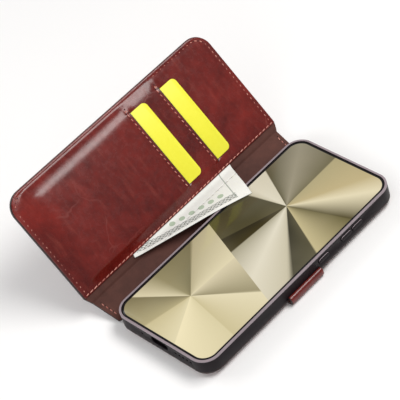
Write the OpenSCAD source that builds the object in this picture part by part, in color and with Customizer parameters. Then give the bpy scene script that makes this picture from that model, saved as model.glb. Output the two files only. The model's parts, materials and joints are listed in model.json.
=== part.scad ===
// Phone wallet case, open, lying on its back with the screen side up.
// Origin: on the surface that the case lies on, under the middle of the whole open case.
// +X is the clasp and button side, +Y is the top end of the phone, +Z is the screen side.

/* [Tray] */
// Width of the tray
tray_w = 76; // [74:0.5:80]
// Length of the tray
tray_l = 160; // [156:0.5:166]
// Radius of the tray's corners in plan
tray_r = 10.5; // [9:0.5:12]
// Thickness of the tray's wall
wall_t = 1.3; // [1.1:0.1:1.5]
// Thickness of the tray's floor
floor_t = 1.2; // [1.1:0.1:1.6]
// Height of the tray, floor and wall together
tray_h = 9; // [8.8:0.1:9.6]

/* [Back] */
// Height of the back panel above the surface it lies on
stand_h = 2.6; // [2.5:0.1:3]
// Thickness of the back panel
back_t = 1.4; // [1.2:0.1:1.6]
// Width of the camera window
window_w = 22; // [20:0.5:24]
// Length of the camera window
window_l = 52; // [50:1:54]

/* [Spine] */
// Width of the spine strip, fold to fold
spine_w = 18.4; // [18.2:0.1:19.5]
// Angle of the spine strip above flat
spine_angle = 20.3; // [15:0.1:25]
// Thickness of the outer leather
leather_t = 1; // [0.8:0.1:1.2]
// Thickness of the lining
lining_t = 0.3; // [0.2:0.05:0.4]

/* [Cover] */
// Width of the cover from its fold to its outer edge
cover_w = 77.4; // [76:0.1:78]
// Length of the cover
cover_l = 164; // [162:0.5:168]
// Radius of the cover's two outer corners
cover_r = 11; // [8:0.5:14]
// Angle of the cover above flat
cover_angle = 50.3; // [40:0.1:70]
// Distance from the fold to the inner panel's edge
panel_start = 5.4; // [4:0.1:7]
// Thickness of the inner panel
panel_t = 0.8; // [0.7:0.05:1]
// Gap of the money pocket
pocket_gap = 0.4; // [0.35:0.05:0.5]

/* [Card slots] */
// Place of the lower slit along the cover
slit_lower_y = 11.7; // [8:0.1:14]
// Place of the upper slit along the cover
slit_upper_y = 36.6; // [34:0.1:40]
// How far each card stands out of its slit
card_out = 12; // [6:0.5:14]

/* [Clasp] */
// Width of the clasp strap
strap_w = 27; // [24:0.5:27]
// Thickness of the clasp strap
strap_t = 2.4; // [2.2:0.1:2.4]
// Length of the strap's part that stands beside the tray
strap_side_l = 14; // [13.5:0.5:15]
// Length of the strap's tongue
strap_tip_l = 23; // [20:0.5:24]

/* [Hidden] */
$fn = 64;

cut = 0.5;              // how far a cutting solid runs past the face it cuts
cherry = "#6b1f19";
lining_brown = "#6e4b41";
near_black = "#1d171a";
thread_pink = "#d79a8c";

// heights on the tray's side
back_z = stand_h;
tray_z = back_z + back_t;
cavity_z = tray_z + floor_t;
rim_z = tray_z + tray_h;
cavity_w = tray_w - 2 * wall_t;
cavity_l = tray_l - 2 * wall_t;
cavity_r = tray_r - wall_t;

// spine and cover folds: the axes run along Y, in the middle of the outer leather
fold_gap = 0.6;         // the leather stops this far from a fold's axis
lining_gap = 1.6;       // the stiffer layers stop this far from a fold's axis
fold1_x = -tray_w / 2 - 1.5;
fold1_z = leather_t / 2;
fold2_x = fold1_x - spine_w * cos(spine_angle);
fold2_z = fold1_z + spine_w * sin(spine_angle);
spine_end_tray = 77.5;  // half length of the spine strip beside the tray
spine_end_cover = 79.5; // half length of the spine strip at the cover's fold

// place of the tray's middle, so that the open case reaches as far to -X as to +X
reach_left = fold2_x - cover_w * cos(cover_angle) - fold1_z * sin(cover_angle);
reach_right = (tray_w + strap_t) / 2 + 1.5;
tray_x = -(reach_left + reach_right) / 2;

// layers of the cover, upwards from the fold's axis, in the cover's own frame
board_z = leather_t / 2;
board_t = 0.7;
cover_lining_z = board_z + board_t;
pocket_z = cover_lining_z + lining_t;
panel_z = pocket_z + pocket_gap;
panel_top = panel_z + panel_t;
seam_border = 4;        // width of the panel's sewn border

// stitches
stitch_pitch = 3.3;
stitch_l = 2.3;
stitch_w = 0.55;
stitch_t = 0.15;
edge_inset = 2.6;       // the edge stitching's distance from the edge

// cards and their pockets
card_w = 53.98;
card_l = 85.6;
card_t = 0.76;
card_r = 3.18;
strip_t = 0.5;          // thickness of the leather over a card
card_upper_x = -39.7;
card_lower_x = -40.5;
card_upper_z = panel_top + stitch_t + 0.1;
strip_upper_z = card_upper_z + card_t + 0.05;
card_lower_z = strip_upper_z + strip_t + stitch_t + 0.1;
strip_lower_z = card_lower_z + card_t + 0.05;
pocket_rim = 1.7;       // width of the wall around a card
upper_inner_w = card_w + 0.6;
lower_inner_w = upper_inner_w + 2 * pocket_rim + 2.4;

// clasp strap: A at the tray's edge, B below it, C where the tongue starts
strap_y = -1.5;
strap_a = [tray_w / 2 + 1.5, 4.4];
strap_b = [strap_a[0], strap_t / 2];
strap_c = [strap_b[0] - strap_side_l, strap_b[1]];
strap_clear = 0.3;
magnet_r = 6;
magnet_t = 1.2;
magnet_x = strap_c[0] - 12.5;
plate_w = 12;
plate_l = 20;

// tray buttons, from the middle of each along Y
button_l = 8.6;
button_h = 3.2;
button_z = back_z + 6;
button_gap = 0.25;
button_stand = 0.4;     // how far a button stands out of the wall
volume_up_y = 45.6;
volume_down_y = 36;
power_y = 16.6;

// phone
phone_w = cavity_w - 0.4;
phone_l = cavity_l - 0.4;
phone_r = cavity_r - 0.2;
phone_t = 7.4;
phone_z = cavity_z;
glass_t = 0.7;
glass_inset = 0.5;
window_x = 20.5;
window_y = 46;
window_r = 6;
lens_r = 7.2;
lens_pitch = 16.5;
lens_out = 3.3;
port_w = 13;
port_h = 5;
port_z = phone_z + phone_t / 2;

// ---- shapes that repeat ----

// moves what is drawn round the tray's middle so that the whole case is centred on X
module framed() {
    translate([tray_x, 0, 0]) children();
}

// flat shape with four rounded corners, centred
module rounded_rect(w, l, r) {
    square([w - 2 * r, l], center = true);
    square([w, l - 2 * r], center = true);
    for (sx = [-1, 1], sy = [-1, 1])
        translate([sx * (w / 2 - r), sy * (l / 2 - r)]) circle(r);
}

module rounded_plate(w, l, r, h) {
    linear_extrude(h) rounded_rect(w, l, r);
}

// a bar along Y of the outline drawn in X and Z
module along_y(length) {
    translate([0, length / 2, 0]) rotate([90, 0, 0]) linear_extrude(length) children();
}

module camera_window(grow, z, h) {
    translate([window_x, window_y, z])
        rounded_plate(window_w + 2 * grow, window_l + 2 * grow, window_r + grow, h);
}

// puts children in the spine's frame: the strip runs from the origin along -X
module on_spine() {
    translate([fold1_x, 0, fold1_z]) rotate([0, spine_angle, 0]) children();
}

// puts children in the cover's frame: the cover runs from the origin along -X
module on_cover() {
    translate([fold2_x, 0, fold2_z]) rotate([0, cover_angle, 0]) children();
}

// the cover's outline, from start to its outer edge, each edge moved in by inset
module cover_outline(start, inset) {
    r = cover_r - inset;
    x_out = -cover_w + inset;
    y_out = cover_l / 2 - inset;
    difference() {
        union() {
            translate([x_out + r, -y_out]) square([-start - x_out - r, 2 * y_out]);
            translate([x_out, -y_out + r]) square([r + cut, 2 * (y_out - r)]);
            for (sy = [-1, 1]) translate([x_out + r, sy * (y_out - r)]) circle(r);
        }
        for (sy = [-1, 1]) {
            polygon([
                [0, sy * (spine_end_cover - inset)],
                [-panel_start, sy * y_out],
                [-panel_start, sy * (y_out + cut)],
                [cut, sy * (y_out + cut)],
                [cut, sy * (spine_end_cover - inset)]
            ]);
        }
    }
}

// one stitch lying along X
module stitch() {
    translate([-stitch_l / 2, -stitch_w / 2, 0]) cube([stitch_l, stitch_w, stitch_t]);
}

// a row of stitches from a to b
module stitch_row(a, b) {
    run = b - a;
    count = max(1, floor(norm(run) / stitch_pitch));
    for (i = [0:count - 1])
        translate(a + run * (i + 0.5) / count) rotate(atan2(run[1], run[0])) stitch();
}

// stitches round a quarter turn
module stitch_arc(centre, r, from) {
    count = round(r * PI / 2 / stitch_pitch);
    for (i = [0:count - 1])
        translate(centre) rotate(from + 90 * (i + 0.5) / count)
            translate([r, 0]) rotate(90) stitch();
}

// a U-shaped wall with a leather strip on top of it, open towards +Y
module card_pocket(x, inner_w, bottom_y, slit_y, strip_z) {
    outer_w = inner_w + 2 * pocket_rim;
    translate([x, 0, panel_top])
        linear_extrude(strip_z - panel_top)
            difference() {
                translate([-outer_w / 2, bottom_y]) square([outer_w, slit_y - bottom_y]);
                translate([-inner_w / 2, bottom_y + pocket_rim])
                    square([inner_w, slit_y - bottom_y + cut]);
            }
    translate([x - outer_w / 2, bottom_y, strip_z])
        cube([outer_w, slit_y - bottom_y, strip_t]);
}

module card(x, slit_y, z) {
    translate([x, slit_y + card_out - card_l / 2, z])
        rounded_plate(card_w, card_l, card_r, card_t);
}

// a block with round ends, lying along Y and standing through the tray's right wall
module side_slot(y, l, h, x0, x1) {
    translate([x0, y, button_z])
        rotate([0, 90, 0])
            linear_extrude(x1 - x0) {
                square([h, l - h], center = true);
                for (sy = [-1, 1]) translate([0, sy * (l - h) / 2]) circle(h / 2);
            }
}

module button(y) {
    side_slot(y, button_l, button_h, cavity_w / 2 + 0.4, tray_w / 2 + button_stand);
}

module button_hole(y) {
    grow = 2 * button_gap;
    side_slot(y, button_l + grow, button_h + grow, cavity_w / 2 - cut, tray_w / 2 + cut);
}

// ---- back and tray ----

module back_leather() {
    lip_x = fold1_x + fold_gap;
    lip_w = 2.9;
    web_x = lip_x + lip_w - leather_t;
    color(cherry) framed() {
        difference() {
            translate([0, 0, back_z]) rounded_plate(tray_w, tray_l, tray_r, back_t);
            camera_window(3.4, back_z - cut, back_t + 2 * cut);
        }
        // the panel's left edge turns down to the spine's fold
        translate([lip_x, -spine_end_tray + tray_r / 2, 0])
            cube([lip_w, 2 * spine_end_tray - tray_r, leather_t]);
        translate([web_x, -spine_end_tray + tray_r, leather_t])
            cube([leather_t, 2 * (spine_end_tray - tray_r), back_z - leather_t]);
    }
}

module back_stitching() {
    x = tray_w / 2 - edge_inset;
    y = tray_l / 2 - edge_inset;
    r = tray_r - edge_inset;
    color(thread_pink) framed()
        translate([0, 0, back_z - stitch_t]) {
            stitch_row([-x + r + 2, -y], [x - r, -y]);
            stitch_row([-x + r + 2, y], [x - r, y]);
            stitch_row([x, -y + r], [x, strap_y - strap_w / 2 - 2]);
            stitch_row([x, strap_y + strap_w / 2 + 2], [x, y - r]);
            stitch_arc([x - r, -y + r], r, -90);
            stitch_arc([x - r, y - r], r, 0);
        }
}

module tpu_tray() {
    color(near_black) framed()
        difference() {
            translate([0, 0, tray_z]) rounded_plate(tray_w, tray_l, tray_r, tray_h);
            translate([0, 0, cavity_z]) rounded_plate(cavity_w, cavity_l, cavity_r, tray_h);
            camera_window(0, tray_z - cut, floor_t + 2 * cut);
            // recess for the strap's root
            translate([strap_a[0] - 11.5, strap_y - strap_w / 2 - 0.1, tray_z - cut])
                cube([12, strap_w + 0.2, 0.8 + cut]);
            for (y = [volume_up_y, volume_down_y, power_y]) button_hole(y);
            // charging port, speaker slots and microphones
            translate([0, -tray_l / 2 - cut, port_z])
                rotate([-90, 0, 0])
                    linear_extrude(wall_t + 2 * cut)
                        rounded_rect(port_w, port_h, port_h / 2 - 0.1);
            for (i = [0:4])
                translate([13 + 3 * i, -tray_l / 2 - cut, port_z])
                    rotate([-90, 0, 0]) cylinder(r = 0.75, h = wall_t + 2 * cut);
            translate([-14, -tray_l / 2 - cut, port_z])
                rotate([-90, 0, 0]) cylinder(r = 0.75, h = wall_t + 2 * cut);
            translate([-18, tray_l / 2 - wall_t - cut, port_z])
                rotate([-90, 0, 0]) cylinder(r = 0.75, h = wall_t + 2 * cut);
        }
}

// raised guard round the lenses, let into the back panel
module camera_frame() {
    color(near_black) framed()
        difference() {
            camera_window(3.3, 0, tray_z);
            camera_window(0, -cut, tray_z + 2 * cut);
        }
}

module strap_root() {
    color(cherry) framed()
        translate([strap_a[0] - 11.4, strap_y - strap_w / 2, tray_z])
            cube([tray_w / 2 - strap_a[0] + 11.4, strap_w, 0.8]);
}

// ---- spine ----

module spine_outline(gap) {
    slope = (spine_end_cover - spine_end_tray) / spine_w;
    y0 = spine_end_tray + slope * gap;
    y1 = spine_end_cover - slope * gap;
    polygon([[-gap, -y0], [-gap, y0], [-spine_w + gap, y1], [-spine_w + gap, -y1]]);
}

module spine_leather() {
    color(cherry) framed()
        on_spine()
            translate([0, 0, -leather_t / 2]) linear_extrude(leather_t) spine_outline(fold_gap);
}

module spine_lining() {
    color(lining_brown) framed()
        on_spine()
            translate([0, 0, leather_t / 2])
                linear_extrude(2 * lining_t) spine_outline(lining_gap);
}

// ---- cover ----

module cover_leather() {
    color(cherry) framed()
        on_cover()
            translate([0, 0, -leather_t / 2]) linear_extrude(leather_t) cover_outline(fold_gap, 0);
}

// the steel plate's outline, where the tongue's magnet meets the closed cover
module plate_outline(grow) {
    translate([-cover_w + 10, strap_y]) square([plate_w + grow, plate_l + grow], center = true);
}

module cover_board() {
    color("#9a8f80") framed()
        on_cover()
            translate([0, 0, board_z])
                linear_extrude(board_t)
                    difference() {
                        cover_outline(lining_gap + 1, 0.8);
                        plate_outline(0.2);
                    }
}

module closure_plate() {
    color("silver") framed()
        on_cover()
            translate([0, 0, board_z]) linear_extrude(board_t - 0.1) plate_outline(0);
}

module cover_lining() {
    color(lining_brown) framed()
        on_cover()
            translate([0, 0, cover_lining_z]) linear_extrude(lining_t) cover_outline(lining_gap, 0.4);
}

module inner_panel() {
    color(cherry) framed()
        on_cover() {
            translate([0, 0, panel_z]) linear_extrude(panel_t) cover_outline(panel_start, 0);
            // sewn border on three sides, which leaves the money pocket open at the spine
            translate([0, 0, pocket_z])
                linear_extrude(pocket_gap)
                    difference() {
                        cover_outline(panel_start, 0);
                        translate([-cover_w + seam_border, -cover_l / 2 + seam_border])
                            square([cover_w, cover_l - 2 * seam_border]);
                    }
        }
}

module card_pocket_upper() {
    bottom = slit_upper_y + card_out - card_l - 1 - pocket_rim;
    color(cherry) framed()
        on_cover() card_pocket(card_upper_x, upper_inner_w, bottom, slit_upper_y, strip_upper_z);
}

module card_pocket_lower() {
    bottom = slit_lower_y + card_out - card_l - 1 - pocket_rim;
    color(cherry) framed()
        on_cover() card_pocket(card_lower_x, lower_inner_w, bottom, slit_lower_y, strip_lower_z);
}

module edge_stitching() {
    x = -cover_w + edge_inset;
    y = cover_l / 2 - edge_inset;
    r = cover_r - edge_inset;
    start = -panel_start - 3;
    color(thread_pink) framed()
        on_cover()
            translate([0, 0, panel_top]) {
                stitch_row([x, -y + r], [x, y - r]);
                for (sy = [-1, 1]) stitch_row([x + r, sy * y], [start, sy * y]);
                stitch_arc([x + r, y - r], r, 90);
                stitch_arc([x + r, -y + r], r, 180);
            }
}

module slot_stitching() {
    half = upper_inner_w / 2 + 0.8;
    color(thread_pink) framed()
        on_cover() {
            translate([card_upper_x, slit_upper_y - 1.8, strip_upper_z + strip_t])
                stitch_row([-half, 0], [half, 0]);
            translate([card_lower_x, slit_lower_y - 1.8, strip_lower_z + strip_t])
                stitch_row([-half, 0], [half, 0]);
        }
}

// stitches along the inner panel's free edge
module seam_stitching() {
    y = cover_l / 2 - 1;
    color(thread_pink) framed()
        on_cover() translate([-panel_start - 1, 0, panel_top]) stitch_row([0, -y], [0, y]);
}

// ---- clasp strap ----

module strap_link() {
    color(cherry) framed()
        translate([0, strap_y, 0])
            along_y(strap_w) {
                translate(strap_a) circle(strap_t / 2);
                translate(strap_b) circle(strap_t / 2);
                translate([strap_b[0] - strap_t / 2, strap_b[1]])
                    square([strap_t, strap_a[1] - strap_b[1]]);
            }
}

module strap_side() {
    start = strap_b[0] - strap_t / 2 - strap_clear;
    color(cherry) framed()
        translate([0, strap_y, 0])
            along_y(strap_w) {
                translate(strap_c) circle(strap_t / 2);
                translate([strap_c[0], 0]) square([start - strap_c[0], strap_t]);
            }
}

module strap_tip() {
    start = strap_c[0] - strap_t / 2 - strap_clear;
    end_r = 9;
    color(cherry) framed()
        translate([0, strap_y, 0])
            difference() {
                translate([start, 0, 0])
                    linear_extrude(strap_t) {
                        translate([-strap_tip_l + end_r, -strap_w / 2])
                            square([strap_tip_l - end_r, strap_w]);
                        translate([-strap_tip_l, -strap_w / 2 + end_r])
                            square([end_r + cut, strap_w - 2 * end_r]);
                        for (sy = [-1, 1])
                            translate([-strap_tip_l + end_r, sy * (strap_w / 2 - end_r)])
                                circle(end_r);
                    }
                // pocket for the magnet
                translate([magnet_x, 0, (strap_t - magnet_t) / 2])
                    cylinder(r = magnet_r + 0.05, h = magnet_t);
            }
}

module strap_magnet() {
    color("silver") framed()
        translate([magnet_x, strap_y, (strap_t - magnet_t) / 2]) cylinder(r = magnet_r, h = magnet_t);
}

// stitches on the face of the tongue that shows when the clasp is closed
module strap_stitching() {
    x0 = strap_c[0] - strap_t / 2 - 1.5;
    color(thread_pink) framed()
        translate([0, strap_y, strap_t])
            for (sy = [-1, 1])
                translate([0, sy * (strap_w / 2 - 2)]) stitch_row([x0 - 13, 0], [x0, 0]);
}

// ---- buttons ----

module volume_up_button() {
    color(near_black) framed() button(volume_up_y);
}

module volume_down_button() {
    color(near_black) framed() button(volume_down_y);
}

module power_button() {
    color(near_black) framed() button(power_y);
}

// ---- contents ----

module card_upper() {
    color("#e8e24a") framed() on_cover() card(card_upper_x, slit_upper_y, card_upper_z);
}

module card_lower() {
    color("#e8e24a") framed() on_cover() card(card_lower_x, slit_lower_y, card_lower_z);
}

// a note folded in half: the part of it that is inside the money pocket
module banknote() {
    note_l = 78;
    note_w = 66;
    note_t = 0.24;
    corner = [-panel_start + 3, -44];
    color("#dfe5d3") framed()
        on_cover()
            translate([0, 0, pocket_z + 0.08])
                linear_extrude(note_t)
                    intersection() {
                        translate(corner)
                            rotate(-18.5) translate([-note_w, 0]) square([note_w, note_l]);
                        translate([-cover_w, -cover_l / 2])
                            square([cover_w - panel_start + 2, cover_l]);
                    }
}

// a sheet of glass on the phone, a little smaller than the phone's outline
module phone_glass(z, h) {
    translate([0, 0, z])
        rounded_plate(phone_w - 2 * glass_inset, phone_l - 2 * glass_inset, phone_r - glass_inset, h);
}

module phone_frame() {
    color("#4a4640") framed()
        difference() {
            translate([0, 0, phone_z]) rounded_plate(phone_w, phone_l, phone_r, phone_t);
            phone_glass(phone_z + phone_t - glass_t, 1);
            phone_glass(phone_z + glass_t - 1, 1);
            // charging port
            translate([0, -phone_l / 2 - cut, port_z])
                rotate([-90, 0, 0])
                    linear_extrude(6 + cut) rounded_rect(8.9, 3.2, 1.55);
        }
}

module phone_screen() {
    color("#c9bd86") framed()
        phone_glass(phone_z + phone_t - glass_t, glass_t);
}

module phone_back_glass() {
    color("#57534d") framed()
        phone_glass(phone_z, glass_t);
}

module phone_lenses() {
    color("#26262a") framed()
        for (i = [-1:1])
            translate([window_x, window_y + i * lens_pitch, phone_z - lens_out])
                cylinder(r = lens_r, h = lens_out);
}

module phone_keys() {
    color("#4a4640") framed()
        for (y = [(volume_up_y + volume_down_y) / 2, power_y]) {
            l = y == power_y ? 8 : 17;
            translate([phone_w / 2, y - l / 2, button_z - 1]) cube([0.15, l, 2]);
        }
}

back_leather();
back_stitching();
tpu_tray();
camera_frame();
strap_root();
spine_leather();
spine_lining();
cover_leather();
cover_board();
closure_plate();
cover_lining();
inner_panel();
card_pocket_upper();
card_pocket_lower();
edge_stitching();
slot_stitching();
seam_stitching();
strap_link();
strap_side();
strap_tip();
strap_magnet();
strap_stitching();
volume_up_button();
volume_down_button();
power_button();
card_upper();
card_lower();
banknote();
phone_frame();
phone_back_glass();
phone_screen();
phone_lenses();
phone_keys();
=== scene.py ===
import json
from math import sin, cos, pi, radians, atan2, hypot, exp

import bmesh
import bpy
from mathutils import Matrix, Vector, noise


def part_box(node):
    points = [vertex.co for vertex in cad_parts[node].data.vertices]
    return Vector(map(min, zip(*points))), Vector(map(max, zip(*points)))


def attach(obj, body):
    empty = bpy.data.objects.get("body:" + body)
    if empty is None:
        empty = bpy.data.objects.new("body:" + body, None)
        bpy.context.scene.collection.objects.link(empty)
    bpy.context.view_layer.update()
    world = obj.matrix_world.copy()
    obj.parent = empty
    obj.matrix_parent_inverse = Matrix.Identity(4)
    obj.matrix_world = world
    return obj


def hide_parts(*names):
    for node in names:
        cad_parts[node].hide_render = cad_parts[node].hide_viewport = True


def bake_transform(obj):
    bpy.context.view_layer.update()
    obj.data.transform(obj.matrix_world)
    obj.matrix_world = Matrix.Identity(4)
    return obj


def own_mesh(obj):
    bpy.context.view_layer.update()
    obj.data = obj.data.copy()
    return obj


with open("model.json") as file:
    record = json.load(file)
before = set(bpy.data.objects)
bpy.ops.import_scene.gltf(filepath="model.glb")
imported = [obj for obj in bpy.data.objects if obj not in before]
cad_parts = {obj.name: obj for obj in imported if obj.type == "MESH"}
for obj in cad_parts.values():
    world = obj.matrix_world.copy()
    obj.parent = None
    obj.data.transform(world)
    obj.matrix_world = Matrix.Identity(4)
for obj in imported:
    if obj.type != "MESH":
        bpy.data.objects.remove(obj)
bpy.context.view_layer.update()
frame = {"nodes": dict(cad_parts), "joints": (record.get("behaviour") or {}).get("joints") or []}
print("frame loaded:", len(frame["nodes"]), "nodes")

# lengths are in millimetres round the middle of the tray until a piece is settled
mm = 0.001
trayLow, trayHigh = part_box("tpu_tray")
trayX = (trayLow[0] + trayHigh[0]) / 2 / mm
joints = {joint["name"]: joint for joint in frame["joints"]}


def jointAt(name):
    place = joints[name]["pos_m"]
    return place[0] / mm - trayX, place[2] / mm


foldOne = jointAt("spine_fold")
foldTwo = jointAt("cover_fold")
spineTilt = atan2(foldTwo[1] - foldOne[1], foldOne[0] - foldTwo[0])
spineWide = hypot(foldTwo[0] - foldOne[0], foldTwo[1] - foldOne[1])

case = {
    "coverTilt": radians(50.3),
    "coverWide": 77.4,
    "coverHalf": 82.0,
    "coverCorner": 11.0,
    "panelStart": 5.4,
    "spineHalfTray": 77.5,
    "spineHalfCover": 79.5,
    "foldReach": 2.0,       # how far the leather bends on each side of a fold
    "edgeInset": 2.6,       # edge stitching from the edge
    "pitch": 3.3,           # stitch to stitch
}


def smooth(value, low=0.0, high=1.0):
    share = min(1.0, max(0.0, (value - low) / (high - low)))
    return share * share * (3 - 2 * share)


def turned(origin, tilt, along, up):
    # a point that runs along to the left of origin and up from the leather, tilted up by tilt
    return (
        origin[0] - along * cos(tilt) + up * sin(tilt),
        origin[1] + along * sin(tilt) + up * cos(tilt),
    )


def onCover(along, y, up):
    x, z = turned(foldTwo, case["coverTilt"], along, up)
    return Vector((x, y, z))


def onSpine(along, y, up):
    x, z = turned(foldOne, spineTilt, along, up)
    return Vector((x, y, z))


def overFoldTwo(along, y, up):
    reach = case["foldReach"]
    share = smooth(along, -reach, reach)
    tilt = spineTilt + (case["coverTilt"] - spineTilt) * share
    x, z = turned(foldTwo, tilt, along, up)
    return Vector((x, y, z))


def settle(bm):
    bmesh.ops.scale(bm, vec=(mm, mm, mm), verts=bm.verts)
    bmesh.ops.translate(bm, vec=(trayX * mm, 0, 0), verts=bm.verts)


def piece(bm, name, materials, slot, smoothBelow=40):
    mesh = bpy.data.meshes.new(name)
    bm.to_mesh(mesh)
    bm.free()
    for material in materials:
        mesh.materials.append(material)
    mesh.shade_smooth()
    mesh.set_sharp_from_angle(angle=radians(smoothBelow))
    obj = bpy.data.objects.new(name, mesh)
    bpy.context.scene.collection.objects.link(obj)
    return obj


def flatFace(bm, corners, rounded=(), radius=1.0, steps=10):
    verts = [bm.verts.new((x, y, 0)) for x, y in corners]
    bm.faces.new(verts)
    if rounded:
        bmesh.ops.bevel(
            bm, geom=[verts[i] for i in rounded], offset=radius, segments=steps,
            profile=0.5, affect="VERTICES", material=-1, clamp_overlap=False,
        )


def raiseSlab(bm, low, high, rim, steps=2, joined=None):
    # the flat face becomes a slab from low to high, with its rims rounded by rim,
    # but not at the end at x = joined, where another piece goes on
    bmesh.ops.translate(bm, vec=(0, 0, low), verts=bm.verts)
    grown = bmesh.ops.extrude_face_region(bm, geom=bm.faces[:])
    top = [v for v in grown["geom"] if isinstance(v, bmesh.types.BMVert)]
    bmesh.ops.translate(bm, vec=(0, 0, high - low), verts=top)
    bmesh.ops.recalc_face_normals(bm, faces=bm.faces)
    bm.normal_update()
    if rim:
        flat = [
            e for e in bm.edges
            if abs(e.verts[0].co.z - e.verts[1].co.z) < 1e-6 and e.calc_face_angle(0) > 1
            and (joined is None or max(abs(v.co.x - joined) for v in e.verts) > 1e-3)
        ]
        bmesh.ops.bevel(
            bm, geom=flat, offset=rim, segments=steps, profile=0.5, affect="EDGES",
            material=-1, clamp_overlap=True,
        )


def cutAcross(bm, axis, places):
    normal = Vector((0, 0, 0))
    normal[axis] = 1
    for place in places:
        bmesh.ops.bisect_plane(
            bm, geom=bm.verts[:] + bm.edges[:] + bm.faces[:], plane_co=normal * place,
            plane_no=normal, dist=1e-4,
        )


def steps(low, high, count):
    return [low + (high - low) * i / count for i in range(count + 1)]


def facesOut(bm):
    # for closed bodies, where the volume tells which way the faces point
    bmesh.ops.recalc_face_normals(bm, faces=bm.faces)
    if bm.calc_volume(signed=True) < 0:
        bmesh.ops.reverse_faces(bm, faces=bm.faces)


def reshape(bm, where):
    for vert in bm.verts:
        vert.co = where(*vert.co)
    # the way along runs to the left, which turns the faces round
    facesOut(bm)


def softCopy(node, name, body, materials, slot, width, parts=2, sharper=35, keepFaces=None):
    # a CAD node's own shape, merged, with its sharp edges rounded
    bm = bmesh.new()
    bm.from_mesh(frame["nodes"][node].data)
    bmesh.ops.remove_doubles(bm, verts=bm.verts, dist=2e-6)
    bmesh.ops.dissolve_limit(
        bm, angle_limit=radians(1), use_dissolve_boundaries=False, verts=bm.verts,
        edges=bm.edges,
    )
    if keepFaces:
        keepFaces(bm)
    sharp = [
        e for e in bm.edges
        if len(e.link_faces) == 2 and e.calc_face_angle(0) > radians(sharper)
    ]
    bmesh.ops.bevel(
        bm, geom=sharp, offset=width * mm, segments=parts, profile=0.5, affect="EDGES",
        material=-1, clamp_overlap=True,
    )
    bmesh.ops.triangulate(bm, faces=[f for f in bm.faces if len(f.verts) > 4])
    obj = piece(bm, name, materials, slot)
    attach(obj, body)
    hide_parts(node)
    return obj


view = {
    "place": (0.67246, -0.42121, 0.78369),
    "look": (-0.61728, 0.38408, -0.68662),
    "right": (0.69636, 0.67288, -0.24964),
    "lens": 172.6,
}


def makeCamera():
    data = bpy.data.cameras.new("camera")
    data.lens = view["lens"]
    data.sensor_width = 36
    data.clip_end = 10
    camera = bpy.data.objects.new("camera", data)
    look = Vector(view["look"]).normalized()
    right = Vector(view["right"]).normalized()
    up = right.cross(look).normalized()
    turn = Matrix((right, up, -look)).transposed().to_4x4()
    camera.matrix_world = Matrix.Translation(Vector(view["place"])) @ turn
    bpy.context.scene.collection.objects.link(camera)
    bpy.context.scene.camera = camera


lamps = {
    "overhead": {
        "from": (0.34, 0.375, 0.86), "away": 0.79, "size": (0.6, 0.3), "power": 4.8,
        "tint": (1, 0.98, 0.96),
    },
    "left": {
        "from": (-0.8, -0.35, 0.55), "away": 0.9, "size": (0.7, 0.5), "power": 3.0,
        "tint": (1, 0.98, 0.97),
    },
    "front": {
        "from": (0.35, -0.9, 0.5), "away": 0.95, "size": (0.8, 0.5), "power": 2.6,
        "tint": (1, 1, 1),
    },
}


def makeLight():
    for name, lamp in lamps.items():
        data = bpy.data.lights.new(name, "AREA")
        data.shape = "RECTANGLE"
        data.size, data.size_y = lamp["size"]
        data.energy = lamp["power"]
        data.color = lamp["tint"]
        obj = bpy.data.objects.new(name, data)
        away = Vector(lamp["from"]).normalized()
        obj.location = away * lamp["away"] + Vector((0, 0, 0.02))
        obj.rotation_euler = away.to_track_quat("Z", "Y").to_euler()
        bpy.context.scene.collection.objects.link(obj)
    world = bpy.data.worlds.new("studio")
    world.use_nodes = True
    back = world.node_tree.nodes["Background"]
    back.inputs["Color"].default_value = (1, 1, 1, 1)
    back.inputs["Strength"].default_value = 0.3
    bpy.context.scene.world = world
    bpy.context.scene.view_settings.view_transform = "Standard"


def makeFloor():
    bm = bmesh.new()
    bmesh.ops.create_grid(bm, x_segments=1, y_segments=1, size=3)
    mesh = bpy.data.meshes.new("floor")
    bm.to_mesh(mesh)
    bm.free()
    floor = bpy.data.objects.new("floor", mesh)
    floor.location.z = -0.0004
    paint = bpy.data.materials.new("paleFloor")
    paint.use_nodes = True
    shader = paint.node_tree.nodes["Principled BSDF"]
    shader.inputs["Base Color"].default_value = (0.93, 0.93, 0.93, 1)
    shader.inputs["Roughness"].default_value = 0.9
    mesh.materials.append(paint)
    bpy.context.scene.collection.objects.link(floor)


makeCamera()
makeLight()
makeFloor()
print("camera, floor and light made")


def addNode(tree, kind, **values):
    node = tree.nodes.new(kind)
    for name, value in values.items():
        setattr(node, name, value)
    return node


def fill(tree, socket, value):
    if isinstance(value, bpy.types.NodeSocket):
        tree.links.new(value, socket)
    elif isinstance(value, (tuple, list)) and len(value) == 3 and socket.type == "RGBA":
        socket.default_value = (*value, 1)
    else:
        socket.default_value = value


def sums(tree, what, a, b=None, c=None, clamp=False):
    node = addNode(tree, "ShaderNodeMath", operation=what, use_clamp=clamp)
    for i, value in enumerate((a, b, c)):
        if value is not None:
            fill(tree, node.inputs[i], value)
    return node.outputs[0]


def mixed(tree, share, a, b):
    node = addNode(tree, "ShaderNodeMix", data_type="RGBA")
    fill(tree, node.inputs["Factor"], share)
    fill(tree, node.inputs[6], a)
    fill(tree, node.inputs[7], b)
    return node.outputs[2]


def spread(tree, value, low, high, newLow=0.0, newHigh=1.0):
    # eases from newLow to newHigh while the value goes from low to high
    node = addNode(tree, "ShaderNodeMapRange", interpolation_type="SMOOTHSTEP")
    for i, number in enumerate((value, low, high, newLow, newHigh)):
        fill(tree, node.inputs[i], number)
    return node.outputs[0]


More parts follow.
